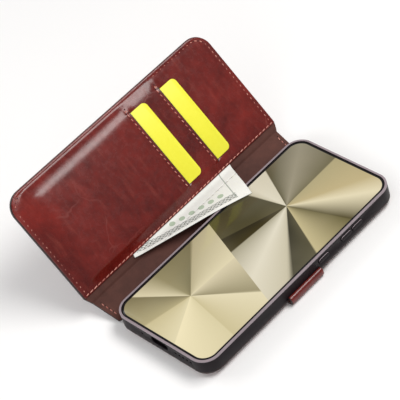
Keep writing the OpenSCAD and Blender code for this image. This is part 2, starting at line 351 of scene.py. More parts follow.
def cloud(tree, vector, scale, detail=2.0, rough=0.5, warp=0.0):
    node = addNode(tree, "ShaderNodeTexNoise")
    fill(tree, node.inputs["Vector"], vector)
    node.inputs["Scale"].default_value = scale
    node.inputs["Detail"].default_value = detail
    node.inputs["Roughness"].default_value = rough
    node.inputs["Distortion"].default_value = warp
    return node.outputs["Fac"]


def cells(tree, vector, feature):
    node = addNode(tree, "ShaderNodeTexVoronoi", feature=feature)
    fill(tree, node.inputs["Vector"], vector)
    node.inputs["Scale"].default_value = 1.0
    return node.outputs["Distance"]


def placed(tree, vector, turn, size):
    node = addNode(tree, "ShaderNodeMapping")
    fill(tree, node.inputs["Vector"], vector)
    node.inputs["Rotation"].default_value = turn
    node.inputs["Scale"].default_value = size
    return node.outputs["Vector"]


def scaledBy(tree, vector, scale):
    node = addNode(tree, "ShaderNodeVectorMath", operation="SCALE")
    tree.links.new(vector, node.inputs[0])
    tree.links.new(scale, node.inputs["Scale"])
    return node.outputs[0]


def effect(name, inputs, outputs):
    group = bpy.data.node_groups.new(name, "ShaderNodeTree")
    for label, kind, value in inputs:
        socket = group.interface.new_socket(label, in_out="INPUT", socket_type=kind)
        if value is not None:
            socket.default_value = value
    for label, kind in outputs:
        group.interface.new_socket(label, in_out="OUTPUT", socket_type=kind)
    start = group.nodes.new("NodeGroupInput")
    end = group.nodes.new("NodeGroupOutput")
    return group, start.outputs, end.inputs


vectorKind, floatKind, colourKind = "NodeSocketVector", "NodeSocketFloat", "NodeSocketColor"


def makeMottle():
    # slow and fast drifts between two colours, as in a waxed hide
    group, given, out = effect(
        "mottle",
        [("Vector", vectorKind, None), ("Dark", colourKind, None), ("Light", colourKind, None),
         ("Scale", floatKind, 40.0), ("Contrast", floatKind, 0.5)],
        [("Color", colourKind), ("Fac", floatKind)],
    )
    scaled = scaledBy(group, given["Vector"], given["Scale"])
    slow = cloud(group, scaled, 1.0, 3.0, 0.55, 0.6)
    fast = cloud(group, scaled, 6.5, 5.0, 0.62, 0.3)
    both = sums(group, "ADD", sums(group, "MULTIPLY", slow, 0.62), sums(group, "MULTIPLY", fast, 0.38))
    centred = sums(group, "SUBTRACT", both, 0.5)
    share = sums(group, "MULTIPLY_ADD", centred, sums(group, "MULTIPLY", given["Contrast"], 5.0), 0.5, True)
    fill(group, out["Color"], mixed(group, share, given["Dark"], given["Light"]))
    fill(group, out["Fac"], share)
    return group


def makeGrain():
    # fine pebbled hide with short hairline creases
    group, given, out = effect(
        "hideGrain",
        [("Vector", vectorKind, None), ("Pebbles", floatKind, 1300.0), ("Creases", floatKind, 55.0)],
        [("Height", floatKind), ("Crease", floatKind)],
    )
    scaled = scaledBy(group, given["Vector"], given["Pebbles"])
    pebbles = cells(group, scaled, "SMOOTH_F1")
    fuzz = cloud(group, scaled, 0.35, 4.0, 0.6)
    # creases wander, so the place they are read from is pushed about first
    warp = addNode(group, "ShaderNodeTexNoise")
    group.links.new(given["Vector"], warp.inputs["Vector"])
    warp.inputs["Scale"].default_value = 45
    warp.inputs["Detail"].default_value = 3
    pushed = addNode(group, "ShaderNodeVectorMath", operation="MULTIPLY_ADD")
    group.links.new(warp.outputs["Color"], pushed.inputs[0])
    pushed.inputs[1].default_value = (0.02, 0.02, 0.02)
    group.links.new(given["Vector"], pushed.inputs[2])
    web = cells(group, scaledBy(group, pushed.outputs[0], given["Creases"]), "DISTANCE_TO_EDGE")
    lines = spread(group, web, 0.0, 0.022, 1.0, 0.0)
    patches = spread(group, cloud(group, given["Vector"], 32, 2.0), 0.52, 0.66)
    crease = sums(group, "MULTIPLY", lines, patches)
    body = sums(group, "ADD", sums(group, "MULTIPLY", pebbles, 0.55), sums(group, "MULTIPLY", fuzz, 0.45))
    fill(group, out["Height"], sums(group, "SUBTRACT", body, sums(group, "MULTIPLY", crease, 0.5)))
    fill(group, out["Crease"], crease)
    return group


def makeSpeckle():
    # fine two-tone specks for plastics, paper and board
    group, given, out = effect(
        "speckle",
        [("Vector", vectorKind, None), ("Scale", floatKind, 900.0), ("Amount", floatKind, 0.5)],
        [("Fac", floatKind), ("Height", floatKind)],
    )
    scaled = scaledBy(group, given["Vector"], given["Scale"])
    fine = cloud(group, scaled, 1.0, 4.0, 0.65)
    slow = cloud(group, scaled, 0.04, 2.0, 0.5)
    both = sums(group, "ADD", sums(group, "MULTIPLY", fine, 0.6), sums(group, "MULTIPLY", slow, 0.4))
    share = sums(group, "MULTIPLY_ADD", sums(group, "SUBTRACT", both, 0.5), given["Amount"], 0.5, True)
    fill(group, out["Fac"], share)
    fill(group, out["Height"], fine)
    return group


mottle = makeMottle()
hideGrain = makeGrain()
speckle = makeSpeckle()


def useGroup(tree, group, **values):
    node = tree.nodes.new("ShaderNodeGroup")
    node.node_tree = group
    for name, value in values.items():
        fill(tree, node.inputs[name], value)
    return node.outputs


def newMaterial(name):
    material = bpy.data.materials.new(name)
    material.use_nodes = True
    tree = material.node_tree
    shader = tree.nodes["Principled BSDF"]
    return material, tree, shader


def objectPlace(tree):
    return addNode(tree, "ShaderNodeTexCoord").outputs["Object"]


def bumpInto(tree, shader, height, strength, depth):
    node = addNode(tree, "ShaderNodeBump")
    node.inputs["Strength"].default_value = strength
    node.inputs["Distance"].default_value = depth
    fill(tree, node.inputs["Height"], height)
    tree.links.new(node.outputs["Normal"], shader.inputs["Normal"])


waxed = {
    "dark": (0.055, 0.0035, 0.003),
    "light": (0.21, 0.016, 0.011),
    "worn": (0.33, 0.07, 0.05),
    "rough": (0.2, 0.31),
    "coat": 0.3,
    "coatRough": 0.2,
}


def makeWaxedLeather(name, dark, light):
    material, tree, shader = newMaterial(name)
    place = objectPlace(tree)
    tone = useGroup(tree, mottle, Vector=place, Dark=dark, Light=light, Scale=22.0, Contrast=0.5)
    grain = useGroup(tree, hideGrain, Vector=place, Pebbles=1500.0, Creases=34.0)
    # long pulled streaks run across the cover
    streaks = cloud(tree, placed(tree, place, (0, 0.9, 0.5), (30, 260, 60)), 1.0, 4.0, 0.6, 0.4)
    pulled = sums(tree, "MULTIPLY", spread(tree, streaks, 0.5, 0.8), 0.26)
    colour = mixed(tree, pulled, tone["Color"], waxed["worn"])
    colour = mixed(tree, sums(tree, "MULTIPLY", grain["Crease"], 0.16), colour, waxed["worn"])
    fill(tree, shader.inputs["Base Color"], colour)
    low, high = waxed["rough"]
    rough = spread(tree, cloud(tree, place, 300, 4.0, 0.6), 0.3, 0.7, low, high)
    rough = sums(tree, "ADD", rough, sums(tree, "MULTIPLY", grain["Crease"], 0.15))
    fill(tree, shader.inputs["Roughness"], rough)
    shader.inputs["Specular IOR Level"].default_value = 0.32
    shader.inputs["Coat Weight"].default_value = waxed["coat"]
    shader.inputs["Coat Roughness"].default_value = waxed["coatRough"]
    bumpInto(tree, shader, grain["Height"], 0.24, 0.00012)
    return material


def makeLining():
    material, tree, shader = newMaterial("mauveLining")
    place = objectPlace(tree)
    tone = useGroup(tree, mottle, Vector=place, Dark=(0.045, 0.017, 0.013), Light=(0.13, 0.048, 0.035),
                    Scale=40.0, Contrast=0.45)
    nap = useGroup(tree, speckle, Vector=place, Scale=2600.0, Amount=0.8)
    fibres = mixed(tree, nap["Fac"], (0.04, 0.015, 0.012), (0.15, 0.06, 0.046))
    colour = mixed(tree, 0.35, tone["Color"], fibres)
    fill(tree, shader.inputs["Base Color"], colour)
    fill(tree, shader.inputs["Roughness"], spread(tree, nap["Height"], 0.2, 0.8, 0.55, 0.8))
    shader.inputs["Sheen Weight"].default_value = 0.06
    shader.inputs["Specular IOR Level"].default_value = 0.2
    shader.inputs["Sheen Roughness"].default_value = 0.5
    bumpInto(tree, shader, nap["Height"], 0.4, 0.00008)
    return material


def makeEdgePaint():
    material, tree, shader = newMaterial("edgePaint")
    place = objectPlace(tree)
    tone = useGroup(tree, mottle, Vector=place, Dark=(0.008, 0.004, 0.004), Light=(0.035, 0.013, 0.012),
                    Scale=200.0, Contrast=0.6)
    fill(tree, shader.inputs["Base Color"], tone["Color"])
    fill(tree, shader.inputs["Roughness"], spread(tree, tone["Fac"], 0.0, 1.0, 0.3, 0.5))
    bumpInto(tree, shader, cloud(tree, place, 900, 3.0), 0.3, 0.0001)
    return material


def makeThread():
    material, tree, shader = newMaterial("salmonThread")
    place = objectPlace(tree)
    ply = addNode(tree, "ShaderNodeTexWave", wave_type="BANDS", bands_direction="DIAGONAL")
    fill(tree, ply.inputs["Vector"], place)
    ply.inputs["Scale"].default_value = 620
    ply.inputs["Distortion"].default_value = 1.5
    tint = cloud(tree, place, 160, 3.0)
    colour = mixed(tree, spread(tree, tint, 0.35, 0.65), (0.5, 0.15, 0.11), (0.86, 0.42, 0.33))
    # the ply bands are mixed toward dark red: painted shade between the twisted plies
    colour = mixed(tree, sums(tree, "MULTIPLY", ply.outputs["Fac"], 0.45), colour, (0.3, 0.07, 0.05))
    fill(tree, shader.inputs["Base Color"], colour)
    fill(tree, shader.inputs["Roughness"], spread(tree, ply.outputs["Fac"], 0, 1, 0.45, 0.7))
    shader.inputs["Sheen Weight"].default_value = 0.3
    bumpInto(tree, shader, ply.outputs["Fac"], 0.5, 0.0001)
    return material


def makePlastic(name, dark, light, rough, scale=1800.0, coat=0.0, bump=0.2, shine=0.3):
    material, tree, shader = newMaterial(name)
    place = objectPlace(tree)
    specks = useGroup(tree, speckle, Vector=place, Scale=scale, Amount=1.2)
    fill(tree, shader.inputs["Base Color"], mixed(tree, specks["Fac"], dark, light))
    fill(tree, shader.inputs["Roughness"], spread(tree, specks["Fac"], 0, 1, rough[0], rough[1]))
    shader.inputs["Specular IOR Level"].default_value = shine
    shader.inputs["Coat Weight"].default_value = coat
    shader.inputs["Coat Roughness"].default_value = 0.2
    bumpInto(tree, shader, specks["Height"], bump, 0.00005)
    return material


def makeMetal(name, dark, light, rough):
    material, tree, shader = newMaterial(name)
    place = objectPlace(tree)
    brushed = cloud(tree, placed(tree, place, (0, 0, 0), (4000, 60, 4000)), 1.0, 3.0, 0.6)
    fill(tree, shader.inputs["Base Color"], mixed(tree, brushed, dark, light))
    fill(tree, shader.inputs["Roughness"], spread(tree, brushed, 0.2, 0.8, rough[0], rough[1]))
    shader.inputs["Metallic"].default_value = 1.0
    bumpInto(tree, shader, brushed, 0.1, 0.00003)
    return material


wallpaper = {
    "apex": (-4.6, 33.1),
    "lower": (-6.0, -47.0),
    "fold": -12.0,          # where the second fan of facets takes over
    "glow": 0.4,
    "bezel": (35.2, 77.2, 8.0),
    # share of a turn, colour at that side of the facet
    "fan": [
        (0.0, (0.5, 0.47, 0.38)), (0.03, (0.4, 0.37, 0.28)), (0.032, (0.03, 0.026, 0.011)),
        (0.188, (0.05, 0.042, 0.016)), (0.19, (0.016, 0.012, 0.003)), (0.235, (0.03, 0.022, 0.004)),
        (0.237, (0.26, 0.24, 0.17)), (0.31, (0.5, 0.47, 0.38)), (0.37, (0.38, 0.35, 0.26)),
        (0.378, (0.02, 0.018, 0.01)), (0.43, (0.045, 0.04, 0.02)), (0.432, (0.36, 0.31, 0.17)),
        (0.543, (0.1, 0.085, 0.035)), (0.545, (0.05, 0.04, 0.012)), (0.62, (0.5, 0.45, 0.31)),
        (0.66, (0.34, 0.28, 0.15)), (0.75, (0.28, 0.24, 0.13)), (0.752, (0.09, 0.078, 0.04)),
        (0.84, (0.2, 0.18, 0.13)), (0.926, (0.05, 0.044, 0.02)), (0.928, (0.46, 0.43, 0.34)),
        (1.0, (0.5, 0.47, 0.38)),
    ],
    "fanLow": [
        (0.0, (0.2, 0.175, 0.09)), (0.09, (0.5, 0.45, 0.3)), (0.092, (0.14, 0.12, 0.06)),
        (0.21, (0.3, 0.26, 0.14)), (0.212, (0.4, 0.35, 0.2)), (0.33, (0.5, 0.45, 0.29)),
        (0.332, (0.58, 0.52, 0.34)), (0.47, (0.46, 0.41, 0.25)), (0.472, (0.4, 0.35, 0.2)),
        (0.6, (0.52, 0.47, 0.32)), (0.602, (0.2, 0.175, 0.1)), (0.74, (0.46, 0.41, 0.28)),
        (0.742, (0.5, 0.45, 0.3)), (0.87, (0.32, 0.28, 0.17)), (0.872, (0.12, 0.105, 0.05)),
        (1.0, (0.2, 0.175, 0.09)),
    ],
}


def fanColour(tree, place, apex, stops):
    # colour by the direction from a point, so that flat facets meet there
    parts = addNode(tree, "ShaderNodeSeparateXYZ")
    tree.links.new(place, parts.inputs[0])
    dx = sums(tree, "SUBTRACT", parts.outputs["X"], (apex[0] + trayX) * mm)
    dy = sums(tree, "SUBTRACT", parts.outputs["Y"], apex[1] * mm)
    angle = sums(tree, "ARCTAN2", dy, dx)
    share = sums(tree, "FRACT", sums(tree, "ADD", sums(tree, "DIVIDE", angle, 2 * pi), 0.5))
    ramp = addNode(tree, "ShaderNodeValToRGB")
    tree.links.new(share, ramp.inputs["Fac"])
    points = ramp.color_ramp.elements
    points[0].position, points[0].color = stops[0][0], (*stops[0][1], 1)
    points[1].position, points[1].color = stops[-1][0], (*stops[-1][1], 1)
    for at, colour in stops[1:-1]:
        point = points.new(at)
        point.color = (*colour, 1)
    return ramp.outputs["Color"], dx, parts


def squared(tree, value, size=None):
    if size:
        value = sums(tree, "DIVIDE", value, size)
    return sums(tree, "POWER", value, 2.0)


def makeScreen():
    material, tree, shader = newMaterial("litScreen")
    place = objectPlace(tree)
    upper, dx, parts = fanColour(tree, place, wallpaper["apex"], wallpaper["fan"])
    lower = fanColour(tree, place, wallpaper["lower"], wallpaper["fanLow"])[0]
    # the line between the fans leans
    leaning = sums(tree, "ADD", parts.outputs["Y"], sums(tree, "MULTIPLY", dx, 0.35))
    below = spread(tree, leaning, (wallpaper["fold"] - 0.1) * mm, (wallpaper["fold"] + 0.1) * mm, 1.0, 0.0)
    colour = mixed(tree, below, upper, lower)
    # painted sheen: a cloud of a paler tone mixed into the screen's colour
    sheen = cloud(tree, place, 22.0, 2.0)
    colour = mixed(tree, spread(tree, sheen, 0.35, 0.7, 0.0, 0.1), colour, (0.42, 0.38, 0.25))
    # rounded border of the lit area
    wide, tall, corner = wallpaper["bezel"]
    fromMiddle = sums(tree, "ABSOLUTE", sums(tree, "SUBTRACT", parts.outputs["X"], trayX * mm))
    outX = sums(tree, "SUBTRACT", fromMiddle, (wide - corner) * mm)
    outY = sums(tree, "SUBTRACT", sums(tree, "ABSOLUTE", parts.outputs["Y"]), (tall - corner) * mm)
    far = sums(
        tree, "ADD", squared(tree, sums(tree, "MAXIMUM", outX, 0.0)),
        squared(tree, sums(tree, "MAXIMUM", outY, 0.0)),
    )
    inside = spread(tree, sums(tree, "SQRT", far), (corner - 0.1) * mm, (corner + 0.1) * mm, 1.0, 0.0)
    colour = mixed(tree, inside, (0.006, 0.006, 0.007), colour)
    fill(tree, shader.inputs["Base Color"], colour)
    fill(tree, shader.inputs["Emission Color"], colour)
    shader.inputs["Emission Strength"].default_value = wallpaper["glow"]
    fill(tree, shader.inputs["Roughness"], spread(tree, cloud(tree, place, 90.0, 3.0), 0.2, 0.8, 0.06, 0.12))
    shader.inputs["Specular IOR Level"].default_value = 0.25
    return material


def makePaper():
    material, tree, shader = newMaterial("printedPaper")
    uv = addNode(tree, "ShaderNodeUVMap", uv_map="sheet").outputs["UV"]
    parts = addNode(tree, "ShaderNodeSeparateXYZ")
    tree.links.new(uv, parts.inputs[0])
    deep = sums(tree, "MULTIPLY", parts.outputs["X"], 100.0)
    run = sums(tree, "MULTIPLY", parts.outputs["Y"], 100.0)

    def wave(value, rate, shift=0.0):
        return sums(tree, "SINE", sums(tree, "ADD", sums(tree, "MULTIPLY", value, rate), shift))

    def band(value, low, high, soft=0.12):
        up = spread(tree, value, low - soft, low + soft)
        down = spread(tree, value, high - soft, high + soft, 1.0, 0.0)
        return sums(tree, "MULTIPLY", up, down)

    # crossing wavy lines, as on engraved borders
    lace = sums(tree, "ABSOLUTE", sums(tree, "ADD", wave(deep, 2.6), wave(run, 2.2)))
    second = sums(tree, "SUBTRACT", wave(deep, 5.2, 1.0), wave(run, 1.1))
    lace = sums(tree, "MINIMUM", lace, sums(tree, "ABSOLUTE", second))
    ink = spread(tree, lace, 0.12, 0.4, 1.0, 0.15)
    border = sums(tree, "MULTIPLY", band(deep, 2.2, 6.6), band(run, 2.5, 70.0))
    colour = mixed(tree, sums(tree, "MULTIPLY", ink, border), (0.86, 0.86, 0.82), (0.1, 0.115, 0.1))
    # a row of pale ovals
    cell = sums(tree, "SUBTRACT", sums(tree, "FRACT", sums(tree, "DIVIDE", run, 6.5)), 0.5)
    oval = sums(
        tree, "ADD", squared(tree, sums(tree, "MULTIPLY", cell, 3.2)),
        squared(tree, sums(tree, "SUBTRACT", deep, 10.2), 1.9),
    )
    ring = spread(tree, oval, 0.85, 1.0, 1.0, 0.0)
    tint = sums(tree, "MULTIPLY", sums(tree, "MULTIPLY", ring, 0.8), band(run, 26.0, 65.0))
    colour = mixed(tree, tint, colour, (0.34, 0.46, 0.3))
    # fine wavy lines over the whole field
    wavy = sums(tree, "ADD", deep, sums(tree, "MULTIPLY", wave(run, 0.7), 1.5))
    fine = spread(tree, wave(wavy, 7.0), 0.2, 0.9)
    field = sums(tree, "MULTIPLY", band(deep, 7.2, 64.0), band(run, 2.5, 62.0))
    tint = sums(tree, "MULTIPLY", sums(tree, "MULTIPLY", fine, field), 0.22)
    colour = mixed(tree, tint, colour, (0.42, 0.5, 0.42))
    line = sums(tree, "MULTIPLY", band(run, 68.6, 69.3, 0.1), band(deep, 2.2, 30.0))
    colour = mixed(tree, sums(tree, "MULTIPLY", line, 0.8), colour, (0.3, 0.34, 0.3))
    place = objectPlace(tree)
    fibre = cloud(tree, place, 900.0, 4.0)
    colour = mixed(tree, spread(tree, fibre, 0.4, 0.8, 0.0, 0.12), colour, (0.62, 0.6, 0.52))
    fill(tree, shader.inputs["Base Color"], colour)
    fill(tree, shader.inputs["Roughness"], spread(tree, fibre, 0.2, 0.8, 0.6, 0.85))
    bumpInto(tree, shader, fibre, 0.25, 0.00006)
    return material


leather = makeWaxedLeather("waxedLeather", waxed["dark"], waxed["light"])
# a darker copy of the waxed leather: painted shade on the outside, the back and the strap
shadedOuterLeather = makeWaxedLeather("waxedLeatherOuterShaded", (0.038, 0.003, 0.003), (0.14, 0.011, 0.008))
lining = makeLining()
edgePaint = makeEdgePaint()
thread = makeThread()
# dark discs at the stitch holes: painted shade in the holes
holeShade = makePlastic("stitchHoleShade", (0.012, 0.003, 0.003), (0.035, 0.008, 0.007), (0.6, 0.8))
softPlastic = makePlastic(
    "softPlastic", (0.004, 0.002, 0.003), (0.011, 0.006, 0.009), (0.36, 0.5), 2200.0, shine=0.13,
)
# lighter mauve-grey plastic: a painted highlight on the tray's rim and the buttons' upper edges
highlightPlastic = makePlastic("highlightPlastic", (0.23, 0.185, 0.205), (0.35, 0.29, 0.315), (0.32, 0.42), 2200.0)
cardYellow = makePlastic("cardYellow", (0.84, 0.8, 0.03), (0.93, 0.9, 0.075), (0.4, 0.55), 500.0, 0.1, 0.05)
board = makePlastic("greyBoard", (0.28, 0.25, 0.21), (0.42, 0.38, 0.33), (0.8, 0.95), 1200.0, 0, 0.4)
steel = makeMetal("plainSteel", (0.4, 0.4, 0.42), (0.62, 0.62, 0.63), (0.25, 0.45))
# near-black, as painted shade on the phone's frame and keys
shadedPhoneMetal = makeMetal("shadedPhoneMetal", (0.02, 0.018, 0.017), (0.045, 0.041, 0.038), (0.4, 0.5))
phoneGlass = makePlastic(
    "phoneBackGlass", (0.07, 0.065, 0.06), (0.1, 0.092, 0.085), (0.25, 0.35), 300.0, 0.6, 0.02,
)
lensGlass = makePlastic(
    "lensGlass", (0.004, 0.004, 0.006), (0.012, 0.012, 0.018), (0.06, 0.1), 200.0, 1.0, 0.01,
)
screen = makeScreen()
paper = makePaper()
print("materials made")


def edgeDistance(along, y, corner=None):
    corner = corner or case["coverCorner"]
    outX, outY = case["coverWide"] - along, case["coverHalf"] - abs(y)
    if outX < corner and outY < corner:
        return corner - hypot(corner - outX, corner - outY)
    return min(outX, outY)


def coverOutline(start, inset):
    half, wide = case["coverHalf"] - inset, case["coverWide"] - inset
    return [(start, -half), (wide, -half), (wide, half), (start, half)]


wrap = {
    "low": -0.5,            # outer face, from the middle of the leather
    "topSpine": 1.1,
    "topCover": 1.5,
    "rim": 0.28,
    "paint": 1.2,           # width of the painted rim, inside
    "bendCuts": 14,
}


def paintWrap(bm):
    # outer leather below, painted edge round the side, lining on top
    bm.normal_update()
    for face in bm.faces:
        up = face.normal.z
        face.material_index = 0 if up < -0.75 else (2 if up > 0.9 else 1)


def wrapTop(up, share):
    top = wrap["topSpine"] + (wrap["topCover"] - wrap["topSpine"]) * share
    return up if up < 0.3 else up - wrap["topCover"] + top


def makeCoverWrap():
    bm = bmesh.new()
    half = case["coverHalf"]
    middle = (case["spineHalfTray"] + case["spineHalfCover"]) / 2
    corners = [
        (-spineWide / 2, -middle), (0, -case["spineHalfCover"]), (case["panelStart"], -half),
        (case["coverWide"], -half), (case["coverWide"], half),
        (case["panelStart"], half), (0, case["spineHalfCover"]), (-spineWide / 2, middle),
    ]
    flatFace(bm, corners, (3, 4), case["coverCorner"], 12)
    raiseSlab(bm, wrap["low"], wrap["topCover"], wrap["rim"], 2, -spineWide / 2)
    paintWrap(bm)
    reach = case["foldReach"]
    cutAcross(bm, 0, steps(-reach - 0.4, reach + 0.4, wrap["bendCuts"]) + steps(6, 76, 35))
    cutAcross(bm, 1, steps(-80, 80, 40) + [-81.2, 81.2])
    cutAcross(bm, 0, [76.6])
    # the lining stops short of the rim, which is painted
    for face in bm.faces:
        middle = face.calc_center_median()
        onRim = middle.x > case["panelStart"] and edgeDistance(middle.x, middle.y) < wrap["paint"]
        if face.material_index == 2 and onRim:
            face.material_index = 1

    def where(along, y, up):
        rise = 0.12 * noise.noise(Vector((along, y, 3)) / 17) * smooth(along, 3, 12)
        return overFoldTwo(along, y, wrapTop(up, smooth(along, -1, 2)) + rise)

    reshape(bm, where)
    settle(bm)
    obj = piece(bm, "coverLeather", [shadedOuterLeather, edgePaint, lining], "cover_leather", 50)
    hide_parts("cover_leather", "cover_lining")
    tuple(atTray(overFoldTwo(-reach, 0, 0)))
    tuple(atTray(overFoldTwo(reach, 0, 0)))
    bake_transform(obj)


def atTray(point):
    # a point round the tray's middle, in millimetres, as metres in the frame
    return Vector(((point[0] + trayX) * mm, point[1] * mm, point[2] * mm))


# how the spine's leather climbs from the floor to the back panel, past the flat part
under = {"flat": 2.6, "rise": 2.8, "run": 6.0}


def makeBackWrap():
    # from the middle of the spine over the first fold, then up to the back panel
    bm = bmesh.new()
    middle = (case["spineHalfTray"] + case["spineHalfCover"]) / 2
    near = case["spineHalfTray"]
    corners = [
        (-9.4, -66), (-3.5, -71), (0, -near), (spineWide / 2, -middle),
        (spineWide / 2, middle), (0, near), (-3.5, 71), (-9.4, 66),
    ]
    flatFace(bm, corners)
    raiseSlab(bm, wrap["low"], wrap["topCover"], wrap["rim"], 2, spineWide / 2)
    paintWrap(bm)
    reach = case["foldReach"]
    cutAcross(bm, 0, steps(-8.8, -2.8, 8) + steps(-reach, reach, 12) + [4, 6, 8])
    cutAcross(bm, 1, steps(-75, 75, 20))

    def where(along, y, up):
        tilt = spineTilt * smooth(along, -reach, reach)
        thin = smooth(along, -1.5, 1.5)
        if up > 0.3:
            up = up - wrap["topCover"] + 0.5 + (wrap["topSpine"] - 0.5) * thin
        x, z = turned(foldOne, tilt, along, up)
        rise = under["rise"] * smooth(-along, under["flat"], under["flat"] + under["run"])
        return Vector((x, y, z + rise))

    reshape(bm, where)
    settle(bm)
    obj = piece(bm, "spineLeather", [shadedOuterLeather, edgePaint, lining], "cover_leather", 50)
    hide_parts("spine_leather", "spine_lining")
    tuple(atTray(onSpine(reach, 0, 0)))
    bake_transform(obj)


def makeBackPanel():
    # the flat panel glued to the tray, without the stiff lip that stands in for the bend
    level = (foldOne[1] + 2.1) * mm

    def keepPanel(bm):
        bmesh.ops.bisect_plane(
            bm, geom=bm.verts[:] + bm.edges[:] + bm.faces[:], plane_co=(0, 0, level + 0.00002),
            plane_no=(0, 0, 1), clear_inner=True, dist=1e-7,
        )
        bmesh.ops.holes_fill(bm, edges=[e for e in bm.edges if e.is_boundary], sides=0)
        bmesh.ops.recalc_face_normals(bm, faces=bm.faces)

    back = softCopy("back_leather", "backPanelLeather", "base", [shadedOuterLeather, edgePaint],
                    "cover_leather", 0.35, 2, 50, keepPanel)
    for face in back.data.polygons:
        face.material_index = int(abs(face.normal.z) < 0.8)


makeCoverWrap()
makeBackWrap()
makeBackPanel()
print("outer leather made")


panel = {
    "low": 2.7,             # top of the leather at the edge stitching
    "step": 1.56,           # how much each card lifts it
    "thick": 0.42,
    "crown": 0.3,
    "puff": 0.1,
    "dome": 9.8,
    "groove": 0.22,
    "inset": 0.3,           # shows the painted edge of the outer leather
    "lip": 0.5,             # dark strip along each slot: its painted edge, widened as painted shade at the slit
}
slots = {
    "upper": {"y": 36.6, "start": 11.0, "end": 68.4},
    "lower": {"y": 11.7, "start": 11.8, "end": 69.2},
}


def dome(value, low, width):
    # steep at first and level at the end
    return 1 - (1 - min(1.0, max(0.0, (value - low) / width))) ** 2.2


def slotLift(slot, along, y, side):
    # 0 beyond the slit, 1 where the leather lies over the card, and joined up past its ends
    inside = min(along - slot["start"], slot["end"] - along)
    join = 0.5 * (1 - smooth(inside, 0, 1.5))
    gap = y - slot["y"]
    if side > 0 or (side == 0 and gap > 0):
        return join * (1 - smooth(gap, 0, 4.5))
    return 1 - join * (1 - smooth(-gap, 0, 4.5))


def panelTop(along, y, side=0):
    edge = edgeDistance(along, y)
    wide = edgeDistance(along, y, 16)
    rise = dome(wide, 2.4, panel["dome"]) * smooth(along, 6.5, 13.2)
    lift = panel["step"] * (
        slotLift(slots["upper"], along, y, side if abs(y - slots["upper"]["y"]) < 1 else 0)
        + slotLift(slots["lower"], along, y, side if abs(y - slots["lower"]["y"]) < 1 else 0)
    )
    tail = smooth(y, -80, -62)
    top = panel["low"] + lift * rise * (0.25 + 0.75 * tail)
    arch = max(0.0, 1 - ((along - 40.5) / 30) ** 4)
    top += panel["crown"] * arch * smooth(-y, -10, 10) * tail
    top += panel["puff"] * smooth(wide, 2.6, 18) * smooth(along, 6, 20) * smooth(y, 49.5, 60)
    top += 0.07 * noise.noise(Vector((along, y, 0)) / 19) * smooth(edge, 2, 8)
    # stitch lines pull the leather down, and the edges roll over
    top -= panel["groove"] * exp(-((edge - case["edgeInset"]) / 0.8) ** 2)
    top -= panel["groove"] * 0.8 * exp(-((along - case["panelStart"] - 1.0) / 0.6) ** 2)
    outer = 0.45 * exp(-max(0.0, edge - panel["inset"]) / 0.35)
    inner = 0.4 * exp(-(along - case["panelStart"]) / 0.3)
    top -= outer + inner
    for slot in slots.values():
        row = exp(-((y - slot["y"] + 1.8) / 0.7) ** 2)
        span = smooth(min(along - slot["start"], slot["end"] - along), -1.2, 0.5)
        top -= 0.16 * row * span
    return top


def makePanel():
    bm = bmesh.new()
    flatFace(bm, coverOutline(case["panelStart"], panel["inset"]), (1, 2), case["coverCorner"], 14)
    start = case["panelStart"]
    cutsAlong = [start + d for d in (0.15, 0.35, 0.6, 0.85, 1.15, 1.5, 2.0)] + steps(8.2, 75.4, 52)
    cutsAlong += [75.8, 76.2, 76.6, 76.9, 77.15, 77.3]
    cutsAcross = steps(-79.8, 79.8, 94) + [side * d for side in (-1, 1) for d in (80.6, 81.2, 81.6, 81.85)]
    for slot in slots.values():
        cutsAlong += [slot["start"], slot["end"], slot["start"] + 0.7, slot["end"] - 0.7]
        cutsAcross += [slot["y"] + d for d in (-2.6, -2.2, -1.8, -1.4, -1.0, -0.5, -0.15, 0, 0.3, 1.0)]
    cutAcross(bm, 0, sorted(cutsAlong))
    cutAcross(bm, 1, sorted(cutsAcross))
    slit = [
        e for e in bm.edges for s in slots.values()
        if all(
            abs(v.co.y - s["y"]) < 1e-3 and s["start"] - 1e-3 < v.co.x < s["end"] + 1e-3
            for v in e.verts
        )
    ]
    bmesh.ops.split_edges(bm, edges=slit)
    # the faces just below each slit take the dark edge paint: partly the leather's painted edge, partly
    # painted shade at the slit
    for face in bm.faces:
        middle = face.calc_center_median()
        face.material_index = int(any(
            -panel["lip"] < middle.y - s["y"] < 0 and s["start"] < middle.x < s["end"]
            for s in slots.values()
        ))
    sides = {}
    for vert in bm.verts:
        middle = sum(f.calc_center_median().y for f in vert.link_faces) / max(1, len(vert.link_faces))
        sides[vert] = 1 if middle > vert.co.y else -1
    for vert in bm.verts:
        onSlit = any(abs(vert.co.y - s["y"]) < 1e-3 for s in slots.values())
        up = panelTop(vert.co.x, vert.co.y, sides[vert] if onSlit else 0)
        vert.co = onCover(vert.co.x, vert.co.y, up)
    bmesh.ops.recalc_face_normals(bm, faces=bm.faces)
    outward = onCover(0, 0, 1) - onCover(0, 0, 0)
    bm.faces.ensure_lookup_table()
    bm.normal_update()
    if bm.faces[0].normal.dot(outward) < 0:
        bmesh.ops.reverse_faces(bm, faces=bm.faces)
    settle(bm)
    obj = piece(bm, "innerPanelLeather", [leather, edgePaint], "inner_leather", 60)
    wall = obj.modifiers.new("wall", "SOLIDIFY")
    wall.thickness = panel["thick"] * mm
    wall.offset = -1
    wall.material_offset_rim = 1
    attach(obj, "cover")
    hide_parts("inner_panel", "card_pocket_upper", "card_pocket_lower")


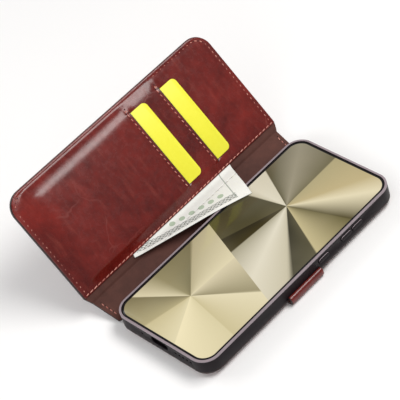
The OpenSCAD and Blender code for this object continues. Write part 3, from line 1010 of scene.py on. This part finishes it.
def makePanelBacking():
    # second layer under the panel, sewn down on three sides, which is the wall of the money pocket
    bm = bmesh.new()
    outline = coverOutline(case["panelStart"] + 0.12, panel["inset"] + 0.1)
    flatFace(bm, outline, (1, 2), case["coverCorner"], 12)
    raiseSlab(bm, 1.9, 2.3, 0.1, 1)
    # the border, which is sewn down, reaches further down than the rest
    border = {"along": case["coverWide"] - 4, "y": 78}
    cutAcross(bm, 0, [border["along"]])
    cutAcross(bm, 1, [-border["y"], border["y"]])
    bm.normal_update()
    sewn = []
    for face in bm.faces:
        middle = face.calc_center_median()
        outside = middle.x > border["along"] or abs(middle.y) > border["y"]
        if face.normal.z < -0.9 and outside:
            sewn.append(face)
    grown = bmesh.ops.extrude_face_region(bm, geom=sewn)
    moved = [v for v in grown["geom"] if isinstance(v, bmesh.types.BMVert)]
    bmesh.ops.translate(bm, vec=(0, 0, -0.42), verts=moved)
    bmesh.ops.delete(bm, geom=sewn, context="FACES")
    bmesh.ops.recalc_face_normals(bm, faces=bm.faces)
    bm.normal_update()
    for face in bm.faces:
        face.material_index = 0 if abs(face.normal.z) > 0.9 else 1
    reshape(bm, onCover)
    settle(bm)
    obj = piece(bm, "panelBacking", [lining, edgePaint], "inner_leather", 40)
    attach(obj, "cover")


makePanel()
makePanelBacking()
print("inner panel made")


def evenly(path, pitch):
    # even places along a path of points, each with the way it runs
    spans = [(path[i], path[i + 1]) for i in range(len(path) - 1)]
    lengths = [hypot(b[0] - a[0], b[1] - a[1]) for a, b in spans]
    total = sum(lengths)
    count = max(1, round(total / pitch))
    found = []
    for i in range(count):
        want = total * (i + 0.5) / count
        for (a, b), length in zip(spans, lengths):
            if want <= length:
                share = want / length
                found.append((
                    a[0] + (b[0] - a[0]) * share, a[1] + (b[1] - a[1]) * share,
                    (b[0] - a[0]) / length, (b[1] - a[1]) / length,
                ))
                break
            want -= length
    return found


def quarter(cx, cy, radius, start, end, parts=8):
    turns = [radians(start + (end - start) * i / parts) for i in range(parts + 1)]
    return [(cx + radius * cos(turn), cy + radius * sin(turn)) for turn in turns]


# length, width and height of the thread that shows, for each row
stitch = {
    "edge": (2.0, 0.6, 0.2),
    "outside": (2.3, 0.55, 0.2),
    "seam": (2.9, 0.72, 0.34),
    "slot": (1.9, 0.6, 0.22),
    "slotEnd": (1.6, 0.6, 0.25),
    "slotBack": (1.4, 0.55, 0.25),
    "spine": (2.2, 0.55, 0.2),
    "back": (2.3, 0.55, 0.15),
    "strap": (2.2, 0.55, 0.18),
    "strapInside": (2.2, 0.55, 0.1),
}


def addStitches(bm, path, surface, size, slant=9.0, holes=True, flip=1):
    # flip is -1 on an under side
    length, width, height = size
    pitch = case["pitch"]
    for a, b, da, db in evenly(path, pitch):
        here = surface(a, b)
        run = (surface(a + da * 0.6, b + db * 0.6) - surface(a - da * 0.6, b - db * 0.6)).normalized()
        side = (surface(a - db * 0.4, b + da * 0.4) - surface(a + db * 0.4, b - da * 0.4)).normalized()
        up = run.cross(side).normalized() * flip
        leaning = Matrix.Rotation(radians(slant), 3, up)
        run = (leaning @ run).normalized()
        side = up.cross(run).normalized()
        basis = Matrix((side * width / 2, up * height, run * length / 2)).transposed().to_4x4()
        bmesh.ops.create_uvsphere(
            bm, u_segments=8, v_segments=5, radius=1.0,
            matrix=Matrix.Translation(here + up * height * 0.25) @ basis,
        )
        # a dark disc at each hole between stitches, painted shade in the hole
        if holes:
            before = set(bm.faces)
            spot = here + run * pitch / 2 - up * 0.02
            flat = Matrix((run, side, up)).transposed().to_4x4()
            bmesh.ops.create_cone(
                bm, cap_ends=True, segments=8, radius1=width * 0.64, radius2=width * 0.56,
                depth=0.12, matrix=Matrix.Translation(spot) @ flat,
            )
            for face in set(bm.faces) - before:
                face.material_index = 1


def stitchPiece(name, body, rows, replaced=()):
    bm = bmesh.new()
    for row in rows:
        addStitches(bm, **row)
    settle(bm)
    obj = piece(bm, name, [thread, holeShade], "thread", 60)
    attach(obj, body)
    if replaced:
        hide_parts(*replaced)
    return obj


def makeStitching():
    inset = case["edgeInset"]
    wide, half = case["coverWide"] - inset, case["coverHalf"] - inset
    radius = case["coverCorner"] - inset
    start = case["panelStart"] + 2.2

    def loop(first):
        return (
            [(first, -half)] + quarter(wide - radius, -half + radius, radius, -90, 0)
            + quarter(wide - radius, half - radius, radius, 0, 90) + [(first, half)]
        )

    def onPanel(along, y):
        return onCover(along, y, panelTop(along, y))

    def onOutside(along, y):
        return onCover(along, y, wrap["low"])

    stitchPiece("edgeStitching", "cover", [
        dict(path=loop(start), surface=onPanel, size=stitch["edge"]),
    ], ["edge_stitching"])
    stitchPiece("coverBackStitching", "cover", [
        dict(path=loop(3.5), surface=onOutside, size=stitch["outside"], flip=-1),
    ])
    seam = case["panelStart"] + 1.0
    edge = case["coverHalf"] - 1.2
    stitchPiece("seamStitching", "cover", [
        dict(path=[(seam, -edge), (seam, edge)], surface=onPanel, size=stitch["seam"],
             slant=-7.0, holes=False),
    ], ["seam_stitching"])
    rows = []
    for slot in slots.values():
        row = slot["y"] - 1.8
        rows.append(dict(
            path=[(slot["start"] + 0.9, row), (slot["end"] - 0.4, row)], surface=onPanel,
            size=stitch["slot"], slant=-8.0,
        ))
        # the row is doubled back past the outer end of the slit
        rows.append(dict(
            path=[(slot["end"] - 0.2, row + 0.2), (slot["end"] + 1.5, row + 0.9)],
            surface=onPanel, size=stitch["slotEnd"], slant=0,
        ))
        rows.append(dict(
            path=[(slot["end"] - 0.4, row + 1.5), (slot["end"] + 1.0, row + 1.3)],
            surface=onPanel, size=stitch["slotBack"], slant=0, holes=False,
        ))
    stitchPiece("slotStitching", "cover", rows, ["slot_stitching"])

    def spineTopAt(along, y):
        return onSpine(along, y, wrap["topSpine"])

    def spineUnderAt(along, y):
        return onSpine(along, y, wrap["low"])

    rows = []
    for sign in (-1, 1):
        ends = [(3.2, sign * (case["spineHalfTray"] - inset + 0.35)),
                (15.0, sign * (case["spineHalfCover"] - inset - 0.35))]
        rows.append(dict(path=ends, surface=spineTopAt, size=stitch["spine"]))
        rows.append(dict(path=ends, surface=spineUnderAt, size=stitch["spine"], flip=-1))
    stitchPiece("spineStitching", "spine", rows)

    def onBack(x, y):
        return Vector((x, y, 2.6))

    x, y, radius = 38 - inset, 80 - inset, 10.5 - inset
    rows = [
        dict(path=[(-x + radius + 2, -y)] + quarter(x - radius, -y + radius, radius, -90, 0)
             + [(x, -17)], surface=onBack, size=stitch["back"], flip=-1),
        dict(path=[(x, 14)] + quarter(x - radius, y - radius, radius, 0, 90)
             + [(-x + radius + 2, y)], surface=onBack, size=stitch["back"], flip=-1),
    ]
    stitchPiece("backStitching", "base", rows, ["back_stitching"])


makeStitching()
print("stitching made")


shells = {
    "highlightBand": 0.75,        # height of the lighter band at the tray's top, a painted highlight
    "button": 0.2,          # rounding of the buttons' edges
    # CAD node, new name, body, material, slot and rounding
    "plain": [
        ("card_upper", "cardUpper", "card_upper", cardYellow, "card", 0.1),
        ("card_lower", "cardLower", "card_lower", cardYellow, "card", 0.1),
        ("phone_frame", "phoneShell", "phone", shadedPhoneMetal, "phone_metal", 0.4),
        ("phone_keys", "phoneKeys", "phone", shadedPhoneMetal, "phone_metal", 0.15),
        ("phone_back_glass", "phoneBack", "phone", phoneGlass, "phone_glass", 0.15),
        ("phone_lenses", "phoneLenses", "phone", lensGlass, "lens_glass", 0.25),
        ("phone_screen", "phoneScreen", "phone", screen, "screen_glass", 0.1),
    ],
}


def makeShells():
    top = trayHigh[2] - shells["highlightBand"] * mm

    def markRim(bm):
        bmesh.ops.bisect_plane(
            bm, geom=bm.verts[:] + bm.edges[:] + bm.faces[:], plane_co=(0, 0, top),
            plane_no=(0, 0, 1), dist=1e-7,
        )

    tray = softCopy("tpu_tray", "softTray", "base", [softPlastic, highlightPlastic], "soft_plastic",
                    0.3, 2, 35, markRim)
    # faces above the band's line, on the rim's top and outer side, take the lighter plastic: a painted
    # highlight
    for face in tray.data.polygons:
        outward = Vector((face.center.x - trayX * mm, face.center.y, 0)).normalized()
        if face.center.z > top and face.normal.dot(outward) > -0.3:
            face.material_index = 1
    softCopy("camera_frame", "cameraGuard", "base", [softPlastic], "soft_plastic", 0.3)
    buttons = {"volume_up_button": "volumeUp", "volume_down_button": "volumeDown",
               "power_button": "powerButton"}
    for node, name in buttons.items():
        button = softCopy(node, name, node, [softPlastic, highlightPlastic], "soft_plastic", shells["button"])
        # their upper outer edge takes the lighter plastic: a painted highlight
        for face in button.data.polygons:
            face.material_index = int(face.normal.z > 0.3 and face.normal.x > 0.3)
    for node, name, body, material, slot, rounding in shells["plain"]:
        softCopy(node, name, body, [material], slot, rounding)
    # hidden parts keep their CAD shape
    for node, material in (("cover_board", board), ("closure_plate", steel), ("strap_magnet", steel)):
        mesh = frame["nodes"][node].data
        mesh.materials.clear()
        mesh.materials.append(material)


makeShells()
print("tray, phone and cards made")


strap = {
    "across": 27.0,
    "middle": -1.5,         # y of its centre line
    "thick": 1.2,           # half its thickness
    "root": 28.2,           # x of its glued end
    "edge": 39.5,           # x of its fold round the tray
    "high": 4.4,            # height of the glued layer
    "low": 1.2,             # height of the tongue
    "turn": 25.5,           # x where the tongue begins
    "tip": 1.0,             # x of its free end
    "end": 9.0,             # radius of the tongue's corners
    "bend": 0.9,            # radius of the folds, at the middle of the leather
    "rim": 0.55,
    "stitchInset": 2.2,
}


def strapPath():
    # straight and round stretches from the root under the tray to the strap's end
    edge, high, low, bend = strap["edge"], strap["high"], strap["low"], strap["bend"]
    points = [(strap["root"], high), (edge - bend, high)]
    for i in range(1, 11):
        turn = radians(90 - 9 * i)
        points.append((edge - bend + bend * cos(turn), high - bend + bend * sin(turn)))
    points.append((edge, low + bend))
    for i in range(1, 11):
        turn = radians(-9 * i)
        points.append((edge - bend + bend * cos(turn), low + bend + bend * sin(turn)))
    points.append((strap["tip"], low))
    return points


def alongPath(points, distance):
    for (ax, az), (bx, bz) in zip(points, points[1:]):
        length = hypot(bx - ax, bz - az)
        if distance <= length or (bx, bz) == points[-1]:
            share = distance / length
            run = ((bx - ax) / length, (bz - az) / length)
            return (ax + (bx - ax) * share, az + (bz - az) * share), run
        distance -= length
    return points[-1], (-1, 0)


def strapPoint(points, along, y, up):
    (x, z), (dx, dz) = alongPath(points, along)
    # up is to the outside of the folds
    return Vector((x - dz * up, y, z + dx * up))


def makeStrap():
    points = strapPath()
    lengths = [hypot(b[0] - a[0], b[1] - a[1]) for a, b in zip(points, points[1:])]
    total = sum(lengths)
    atEdge = strap["edge"] - strap["bend"] - strap["root"]
    foldLength = total - (strap["edge"] - strap["bend"] - strap["tip"]) - atEdge
    pastFold = atEdge + foldLength
    cutOne = atEdge + foldLength / 2
    cutTwo = total - (32.5 - strap["tip"])
    half, end = strap["across"] / 2, strap["end"]
    middle = strap["middle"]

    def build(low, high, name, replaced):
        bm = bmesh.new()
        flatFace(bm, [(0, -half), (total, -half), (total, half), (0, half)], (1, 2), end, 12)
        raiseSlab(bm, -strap["thick"], strap["thick"], strap["rim"], 3)
        bm.normal_update()
        cutAcross(bm, 0, steps(atEdge - 1, pastFold + 1, 40) + steps(pastFold + 2, total - 1, 30))
        cutAcross(bm, 1, steps(-half + 0.8, half - 0.8, 16))
        for place, side in ((low, False), (high, True)):
            if 0 < place < total:
                bmesh.ops.bisect_plane(
                    bm, geom=bm.verts[:] + bm.edges[:] + bm.faces[:], plane_co=(place, 0, 0),
                    plane_no=(1, 0, 0), clear_outer=side, clear_inner=not side, dist=1e-4,
                )
        bmesh.ops.holes_fill(bm, edges=[e for e in bm.edges if e.is_boundary], sides=0)
        bm.normal_update()
        for face in bm.faces:
            face.material_index = 0 if abs(face.normal.z) > 0.8 else 1
        for vert in bm.verts:
            along, y, up = vert.co
            thin = 0.33 + 0.67 * smooth(along, 8.5, atEdge)
            if up < 0:
                # squeezed on the inside of the fold
                inner = smooth(along, atEdge - 2, atEdge) * (1 - smooth(along, pastFold, pastFold + 3))
                thin *= 1 - 0.32 * inner
            vert.co = strapPoint(points, along, y + middle, up * thin)
        facesOut(bm)
        settle(bm)
        obj = piece(bm, name, [shadedOuterLeather, edgePaint], "cover_leather", 55)
        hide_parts(*replaced)
        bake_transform(obj)

    edge, high, low, turn = strap["edge"], strap["high"], strap["low"], strap["turn"]
    build(0, cutOne, "strapRoot",
          ["strap_root", "strap_link"])
    build(cutOne, cutTwo, "strapSide",
          ["strap_side"])
    build(cutTwo, total, "strapTongue",
          ["strap_tip"])

    def onStrap(x, y):
        return Vector((x, y, 0.0))

    def insideStrap(x, y):
        return Vector((x, y, 2.4))

    inset = strap["stitchInset"]
    line, tip, radius = half - inset, strap["tip"] + inset, end - inset
    outline = (
        [(turn - 2.5, middle + line)] + quarter(tip + radius, middle + line - radius, radius, 90, 180)
        + quarter(tip + radius, middle - line + radius, radius, 180, 270) + [(turn - 2.5, middle - line)]
    )
    stitchPiece("strapStitching", "strap_tip", [
        dict(path=outline, surface=onStrap, size=stitch["strap"]),
        dict(path=outline, surface=insideStrap, size=stitch["strapInside"], flip=-1, holes=False),
    ], ["strap_stitching"])
    rows = [
        dict(path=[(turn + 2.5, middle + side * line), (edge - 2.2, middle + side * line)],
             surface=onStrap, size=stitch["strap"], flip=-1)
        for side in (-1, 1)
    ]
    stitchPiece("strapSideStitching", "strap_side", rows)


makeStrap()
print("strap made")


note = {
    "long": 78.0,
    "wide": 66.0,
    "turn": 20.8,               # degrees that it lies askew
    "corner": (2.2, -42.8),     # distance out of the pocket's mouth, and y
    "thick": 0.26,
    "cut": 8.6,                 # how far out of the mouth its two pieces meet
    "pocket": 1.7,              # height in the pocket
    "step": 0.1,
    "steps": 340,
    "far": 250,                 # step near its free corner
    "rise": 58.3,               # degrees that it bends up at the mouth
    "droop": 9.5,
}


def notePoint(deep, run):
    # deep is from the free long edge, run is along it
    turn = radians(note["turn"])
    out = note["corner"][0] + run * sin(turn) - deep * cos(turn)
    y = note["corner"][1] + run * cos(turn) + deep * sin(turn)
    return out, y


def noteCurve():
    start = onCover(case["panelStart"], 0, note["pocket"])
    x, z, step = start.x, start.z, note["step"]
    found = [(x, z)]
    for i in range(note["steps"]):
        out = (i + 0.5) * step
        bend = note["rise"] * smooth(out, -1.5, 4.5) - note["droop"] * smooth(out, 17, 23.5)
        turn = radians(bend) - case["coverTilt"]
        x, z = x + cos(turn) * step, z + sin(turn) * step
        found.append((x, z))
    return found


noteLine = noteCurve()


def noteAt(deep, run):
    out, y = notePoint(deep, run)
    if out <= 0:
        return onCover(case["panelStart"] - out, y, note["pocket"])
    place = min(out / note["step"], len(noteLine) - 1.001)
    i = int(place)
    (ax, az), (bx, bz) = noteLine[i], noteLine[i + 1]
    share = place - i
    wave = 0.22 * sin(y / 11.0) * smooth(out, 8, 24)
    return Vector((ax + (bx - ax) * share, y, az + (bz - az) * share + wave))


def makeNote():
    for name, inside in (("noteInPocket", True), ("noteOutside", False)):
        bm = bmesh.new()
        flatFace(bm, [(0, 0), (note["wide"], 0), (note["wide"], note["long"]), (0, note["long"])])
        cutAcross(bm, 0, steps(1, note["wide"] - 1, 44))
        cutAcross(bm, 1, steps(1, note["long"] - 1, 52))
        turn = radians(note["turn"])
        way = Vector((-cos(turn), sin(turn), 0))
        # cuts along the mouth, the last of them where the two pieces meet
        for back in (9.6, 8.8, 8, 7.2, 6.4, 5.6, 4.8, 4, 3.2, 2.4, 1.6, 0.8, 0):
            spot = way * (note["cut"] - back - note["corner"][0])
            last = back == 0
            bmesh.ops.bisect_plane(
                bm, geom=bm.verts[:] + bm.edges[:] + bm.faces[:], plane_co=spot, plane_no=way,
                dist=1e-5, clear_outer=last and inside, clear_inner=last and not inside,
            )
        area = sum(f.calc_area() for f in bm.faces)
        layer = bm.loops.layers.uv.new("sheet")
        for face in bm.faces:
            for loop in face.loops:
                loop[layer].uv = (loop.vert.co.x / 100, loop.vert.co.y / 100)
        for vert in bm.verts:
            vert.co = noteAt(vert.co.x, vert.co.y)
        bm.normal_update()
        up = Vector((0, 0, 1)) if not inside else onCover(0, 0, 1) - onCover(0, 0, 0)
        if sum(f.normal.dot(up) for f in bm.faces) < 0:
            bmesh.ops.reverse_faces(bm, faces=bm.faces)
        settle(bm)
        obj = piece(bm, name, [paper], "paper", 60)
        wall = obj.modifiers.new("wall", "SOLIDIFY")
        wall.thickness = note["thick"] * mm
        wall.offset = 0
        if inside:
            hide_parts("banknote")
            mouth = onCover(case["panelStart"], 0, note["pocket"])
            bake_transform(obj)
        else:
            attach(obj, "spine")
            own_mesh(obj)


makeNote()
print("note made")
